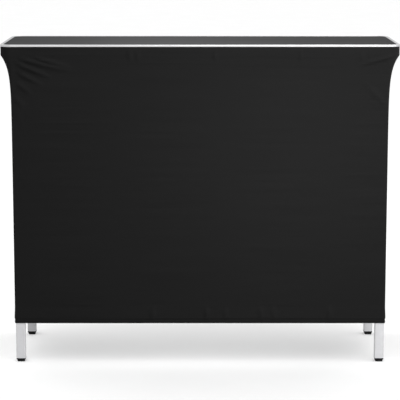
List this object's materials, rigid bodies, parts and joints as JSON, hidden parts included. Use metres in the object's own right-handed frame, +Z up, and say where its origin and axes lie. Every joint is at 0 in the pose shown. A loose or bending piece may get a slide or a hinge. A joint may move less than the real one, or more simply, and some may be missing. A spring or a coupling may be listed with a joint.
{
  "type": "folding portable bar",
  "caption": "Portable bar with a black counter in an aluminium edge frame, leg frames that fold flat under it on clamped hinges, and a black stretch skirt round the front and ends.",
  "frame": {"origin": "on the floor under the middle of the counter", "axes": "+X to the right along the counter as a guest sees it, +Y from the guest's side to the open rear, +Z up"},
  "size_m": [1.22, 0.381, 0.99],
  "materials": {
    "laminate": "matte black laminate on board",
    "edge_aluminium": "satin anodised",
    "leg_aluminium": "satin anodised",
    "steel": "zinc plated",
    "black_plastic": "moulded, matte",
    "hook_tape": "hook tape",
    "stretch_cloth": "black stretch knit"
  },
  "bodies": {
    "counter": {"counter_panel": "laminate", "front_edge": "edge_aluminium", "rear_edge": "edge_aluminium", "left_edge": "edge_aluminium", "right_edge": "edge_aluminium", "front_left_corner": "edge_aluminium", "front_right_corner": "edge_aluminium", "rear_left_corner": "edge_aluminium", "rear_right_corner": "edge_aluminium", "left_batten": "leg_aluminium", "right_batten": "leg_aluminium", "front_left_quadrant": "steel", "front_right_quadrant": "steel", "rear_left_quadrant": "steel", "rear_right_quadrant": "steel", "front_hook_tape": "hook_tape", "left_hook_tape": "hook_tape", "right_hook_tape": "hook_tape", "skirt": "stretch_cloth"},
    "left_leg_frame": {"front_left_leg": "leg_aluminium", "rear_left_leg": "leg_aluminium", "front_left_foot": "black_plastic", "rear_left_foot": "black_plastic", "front_left_stud": "steel", "rear_left_stud": "steel", "left_axle": "steel", "left_middle_rail": "leg_aluminium", "left_lower_rail": "leg_aluminium"},
    "right_leg_frame": {"front_right_leg": "leg_aluminium", "rear_right_leg": "leg_aluminium", "front_right_foot": "black_plastic", "rear_right_foot": "black_plastic", "front_right_stud": "steel", "rear_right_stud": "steel", "right_axle": "steel", "right_middle_rail": "leg_aluminium", "right_lower_rail": "leg_aluminium"},
    "front_left_clamp": {"front_left_knob": "black_plastic"},
    "rear_left_clamp": {"rear_left_knob": "black_plastic"},
    "front_right_clamp": {"front_right_knob": "black_plastic"},
    "rear_right_clamp": {"rear_right_knob": "black_plastic"}
  },
  "joints": [
    {"name": "left_leg_fold", "type": "hinge", "parent": "counter", "child": "left_leg_frame", "pos_m": [-0.559, 0, 0.9557], "axis": [0, -1, 0], "range_deg": [0, 90]},
    {"name": "right_leg_fold", "type": "hinge", "parent": "counter", "child": "right_leg_frame", "pos_m": [0.559, 0, 0.9257], "axis": [0, 1, 0], "range_deg": [0, 90]},
    {"name": "front_left_clamp_turn", "type": "hinge", "parent": "left_leg_frame", "child": "front_left_clamp", "pos_m": [-0.559, -0.14, 0.8607], "axis": [0, -1, 0], "range_deg": [0, 180]},
    {"name": "rear_left_clamp_turn", "type": "hinge", "parent": "left_leg_frame", "child": "rear_left_clamp", "pos_m": [-0.559, 0.14, 0.8607], "axis": [0, 1, 0], "range_deg": [0, 180]},
    {"name": "front_right_clamp_turn", "type": "hinge", "parent": "right_leg_frame", "child": "front_right_clamp", "pos_m": [0.559, -0.14, 0.8307], "axis": [0, -1, 0], "range_deg": [0, 180]},
    {"name": "rear_right_clamp_turn", "type": "hinge", "parent": "right_leg_frame", "child": "rear_right_clamp", "pos_m": [0.559, 0.14, 0.8307], "axis": [0, 1, 0], "range_deg": [0, 180]}
  ]
}
